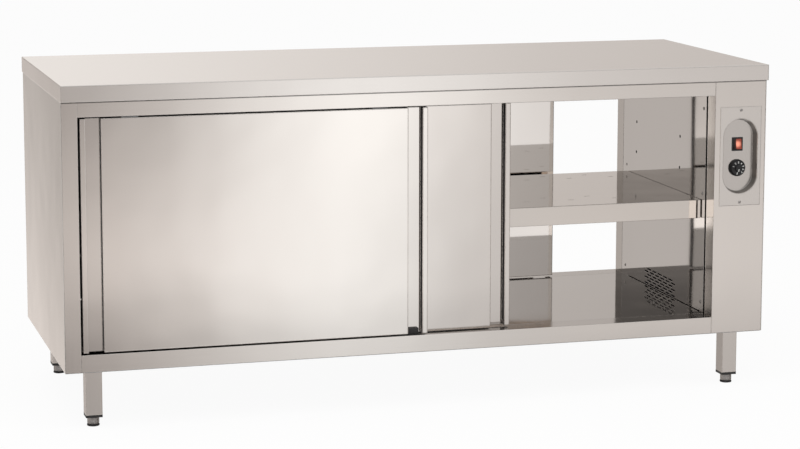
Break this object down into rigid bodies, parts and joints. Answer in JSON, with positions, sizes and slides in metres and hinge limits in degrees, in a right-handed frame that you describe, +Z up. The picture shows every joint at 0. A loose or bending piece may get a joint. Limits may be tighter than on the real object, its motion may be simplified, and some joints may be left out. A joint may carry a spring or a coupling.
{
  "type": "plate warmer cabinet",
  "caption": "Free-standing stainless plate warmer cabinet open to both sides, with hung sliding doors, a loose shelf, levelling feet and a recessed control panel.",
  "frame": {"origin": "on the floor, below the centre of the worktop", "axes": "+X to the right along the length, seen from the front; +Y from the front to the rear; +Z up"},
  "size_m": [1.8, 0.7, 0.833],
  "materials": {
    "worktop_steel": "satin, brushed lengthwise",
    "body_steel": "satin, brushed",
    "door_steel": "satin, brushed",
    "liner_steel": "bright",
    "lining_steel": "bright",
    "fascia_steel": "satin",
    "leg_steel": "satin",
    "foot_steel": "satin",
    "fastener_steel": "zinc plated",
    "galvanised": "galvanised",
    "element_steel": "heat-tinted",
    "motor_iron": "laminated",
    "impeller_aluminium": "mill",
    "nylon": "matte",
    "gland_plastic": "matte",
    "thermostat_body": "matte",
    "switch_black": "gloss",
    "rocker_red": "translucent gloss",
    "knob_black": "satin",
    "insulation": "mineral wool"
  },
  "bodies": {
    "cabinet": {"worktop": "worktop_steel", "worktop_stiffeners": "galvanised", "left_side_panel": "body_steel", "right_side_panel": "body_steel", "front_left_stile": "body_steel", "rear_left_stile": "body_steel", "control_column": "body_steel", "rear_column": "body_steel", "front_top_rail": "body_steel", "rear_top_rail": "body_steel", "front_bottom_rail": "body_steel", "rear_bottom_rail": "body_steel", "underside_panel": "galvanised", "interior_floor": "lining_steel", "ceiling_panel": "lining_steel", "left_inner_wall": "lining_steel", "right_inner_wall": "lining_steel", "insulation": "insulation", "front_upper_track": "galvanised", "rear_upper_track": "galvanised", "door_guides": "nylon", "shelf_studs": "fastener_steel", "legs": "leg_steel", "leg_plugs": "leg_steel", "control_fascia": "fascia_steel", "panel_screws": "fastener_steel", "switch_housing": "switch_black", "thermostat": "thermostat_body", "fan_housing": "galvanised", "fan_motor": "motor_iron", "heating_element": "element_steel", "cable_gland": "gland_plastic"},
    "front_left_door": {"front_left_door_shell": "door_steel", "front_left_door_liner": "liner_steel", "front_left_door_hangers": "fastener_steel"},
    "front_left_door_left_roller": {"front_left_door_left_roller": "nylon"},
    "front_left_door_right_roller": {"front_left_door_right_roller": "nylon"},
    "front_right_door": {"front_right_door_shell": "door_steel", "front_right_door_liner": "liner_steel", "front_right_door_hangers": "fastener_steel"},
    "front_right_door_left_roller": {"front_right_door_left_roller": "nylon"},
    "front_right_door_right_roller": {"front_right_door_right_roller": "nylon"},
    "rear_left_door": {"rear_left_door_shell": "door_steel", "rear_left_door_liner": "liner_steel", "rear_left_door_hangers": "fastener_steel"},
    "rear_left_door_left_roller": {"rear_left_door_left_roller": "nylon"},
    "rear_left_door_right_roller": {"rear_left_door_right_roller": "nylon"},
    "rear_right_door": {"rear_right_door_shell": "door_steel", "rear_right_door_liner": "liner_steel", "rear_right_door_hangers": "fastener_steel"},
    "rear_right_door_left_roller": {"rear_right_door_left_roller": "nylon"},
    "rear_right_door_right_roller": {"rear_right_door_right_roller": "nylon"},
    "shelf": {"shelf": "lining_steel"},
    "knob": {"knob": "knob_black"},
    "rocker": {"rocker": "rocker_red"},
    "fan_impeller": {"fan_impeller": "impeller_aluminium"},
    "foot_front_left": {"foot_front_left": "foot_steel"},
    "foot_front_right": {"foot_front_right": "foot_steel"},
    "foot_rear_left": {"foot_rear_left": "foot_steel"},
    "foot_rear_right": {"foot_rear_right": "foot_steel"}
  },
  "joints": [
    {"name": "front_left_door_slide", "type": "slide", "parent": "cabinet", "child": "front_left_door", "axis": [1, 0, 0], "range_m": [-0.005, 0.758]},
    {"name": "front_left_door_left_roller_spin", "type": "hinge", "parent": "front_left_door", "child": "front_left_door_left_roller", "pos_m": [-0.734, -0.3306, 0.7688], "axis": [0, 1, 0], "continuous": true},
    {"name": "front_left_door_right_roller_spin", "type": "hinge", "parent": "front_left_door", "child": "front_left_door_right_roller", "pos_m": [-0.119, -0.3306, 0.7688], "axis": [0, 1, 0], "continuous": true},
    {"name": "front_right_door_slide", "type": "slide", "parent": "cabinet", "child": "front_right_door", "axis": [1, 0, 0], "range_m": [-0.228, 0.535]},
    {"name": "front_right_door_left_roller_spin", "type": "hinge", "parent": "front_right_door", "child": "front_right_door_left_roller", "pos_m": [-0.511, -0.3016, 0.7688], "axis": [0, 1, 0], "continuous": true},
    {"name": "front_right_door_right_roller_spin", "type": "hinge", "parent": "front_right_door", "child": "front_right_door_right_roller", "pos_m": [0.104, -0.3016, 0.7688], "axis": [0, 1, 0], "continuous": true},
    {"name": "rear_left_door_slide", "type": "slide", "parent": "cabinet", "child": "rear_left_door", "axis": [1, 0, 0], "range_m": [0, 0.763]},
    {"name": "rear_left_door_left_roller_spin", "type": "hinge", "parent": "rear_left_door", "child": "rear_left_door_left_roller", "pos_m": [-0.739, 0.3306, 0.7688], "axis": [0, 1, 0], "continuous": true},
    {"name": "rear_left_door_right_roller_spin", "type": "hinge", "parent": "rear_left_door", "child": "rear_left_door_right_roller", "pos_m": [-0.124, 0.3306, 0.7688], "axis": [0, 1, 0], "continuous": true},
    {"name": "rear_right_door_slide", "type": "slide", "parent": "cabinet", "child": "rear_right_door", "axis": [1, 0, 0], "range_m": [-0.554, 0.209]},
    {"name": "rear_right_door_left_roller_spin", "type": "hinge", "parent": "rear_right_door", "child": "rear_right_door_left_roller", "pos_m": [-0.185, 0.3016, 0.7688], "axis": [0, 1, 0], "continuous": true},
    {"name": "rear_right_door_right_roller_spin", "type": "hinge", "parent": "rear_right_door", "child": "rear_right_door_right_roller", "pos_m": [0.43, 0.3016, 0.7688], "axis": [0, 1, 0], "continuous": true},
    {"name": "shelf_lift", "type": "slide", "parent": "cabinet", "child": "shelf", "axis": [0, 0, 1], "range_m": [0, 0.166]},
    {"name": "knob_turn", "type": "hinge", "parent": "cabinet", "child": "knob", "pos_m": [0.83025, -0.32, 0.567], "axis": [0, 1, 0], "range_deg": [0, 285]},
    {"name": "rocker_tilt", "type": "hinge", "parent": "cabinet", "child": "rocker", "pos_m": [0.83025, -0.3205, 0.628], "axis": [1, 0, 0], "range_deg": [0, 16]},
    {"name": "fan_spin", "type": "hinge", "parent": "cabinet", "child": "fan_impeller", "pos_m": [0.8275, 0.013, 0.211], "axis": [0, 1, 0], "continuous": true},
    {"name": "foot_front_left_level", "type": "slide", "parent": "cabinet", "child": "foot_front_left", "axis": [0, 0, -1], "range_m": [0, 0.03]},
    {"name": "foot_front_right_level", "type": "slide", "parent": "cabinet", "child": "foot_front_right", "axis": [0, 0, -1], "range_m": [0, 0.03]},
    {"name": "foot_rear_left_level", "type": "slide", "parent": "cabinet", "child": "foot_rear_left", "axis": [0, 0, -1], "range_m": [0, 0.03]},
    {"name": "foot_rear_right_level", "type": "slide", "parent": "cabinet", "child": "foot_rear_right", "axis": [0, 0, -1], "range_m": [0, 0.03]}
  ],
  "couplings": [
    {"joint": "front_left_door_left_roller_spin", "follows": "front_left_door_slide", "rad_per_m": 100},
    {"joint": "front_left_door_right_roller_spin", "follows": "front_left_door_slide", "rad_per_m": 100},
    {"joint": "front_right_door_left_roller_spin", "follows": "front_right_door_slide", "rad_per_m": 100},
    {"joint": "front_right_door_right_roller_spin", "follows": "front_right_door_slide", "rad_per_m": 100},
    {"joint": "rear_left_door_left_roller_spin", "follows": "rear_left_door_slide", "rad_per_m": 100},
    {"joint": "rear_left_door_right_roller_spin", "follows": "rear_left_door_slide", "rad_per_m": 100},
    {"joint": "rear_right_door_left_roller_spin", "follows": "rear_right_door_slide", "rad_per_m": 100},
    {"joint": "rear_right_door_right_roller_spin", "follows": "rear_right_door_slide", "rad_per_m": 100}
  ]
}
